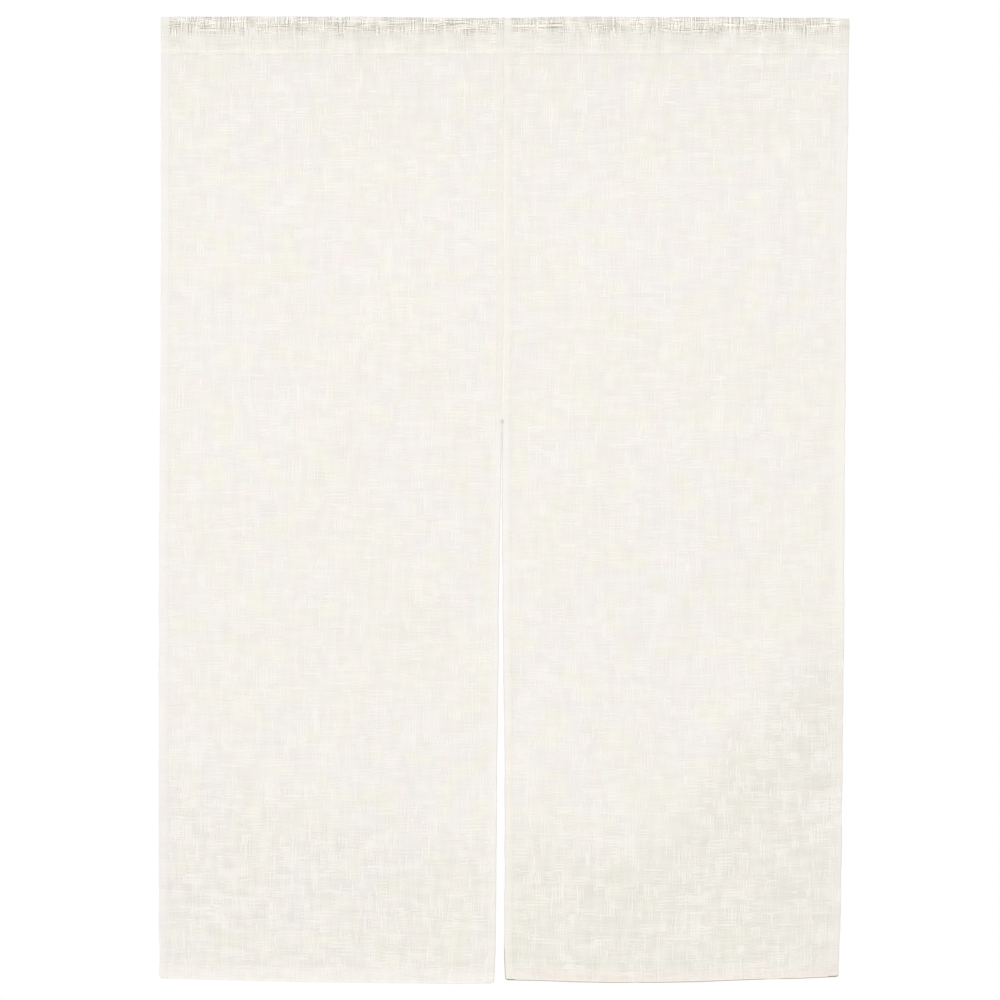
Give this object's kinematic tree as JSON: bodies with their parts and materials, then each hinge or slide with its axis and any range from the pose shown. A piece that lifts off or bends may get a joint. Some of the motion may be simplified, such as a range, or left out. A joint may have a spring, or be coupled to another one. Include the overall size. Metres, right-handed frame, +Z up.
{
  "type": "noren curtain",
  "caption": "Pale slub-cloth noren hung flat: side-by-side hemmed panels, sewn together above and slit open below, with a rod pocket folded along the top edge.",
  "frame": {"origin": "on the top edge at the centre seam, over the middle of the rod pocket", "axes": "+Z up, the curtain hangs down along -Z; its front faces -Y; +X to the right as seen from the front"},
  "size_m": [0.854, 0.0188, 1.1967],
  "materials": {
    "cloth": "matte, slightly sheer slub weave in warm cream"
  },
  "bodies": {
    "root": {"panel_left": "cloth", "panel_right": "cloth"}
  },
  "joints": []
}
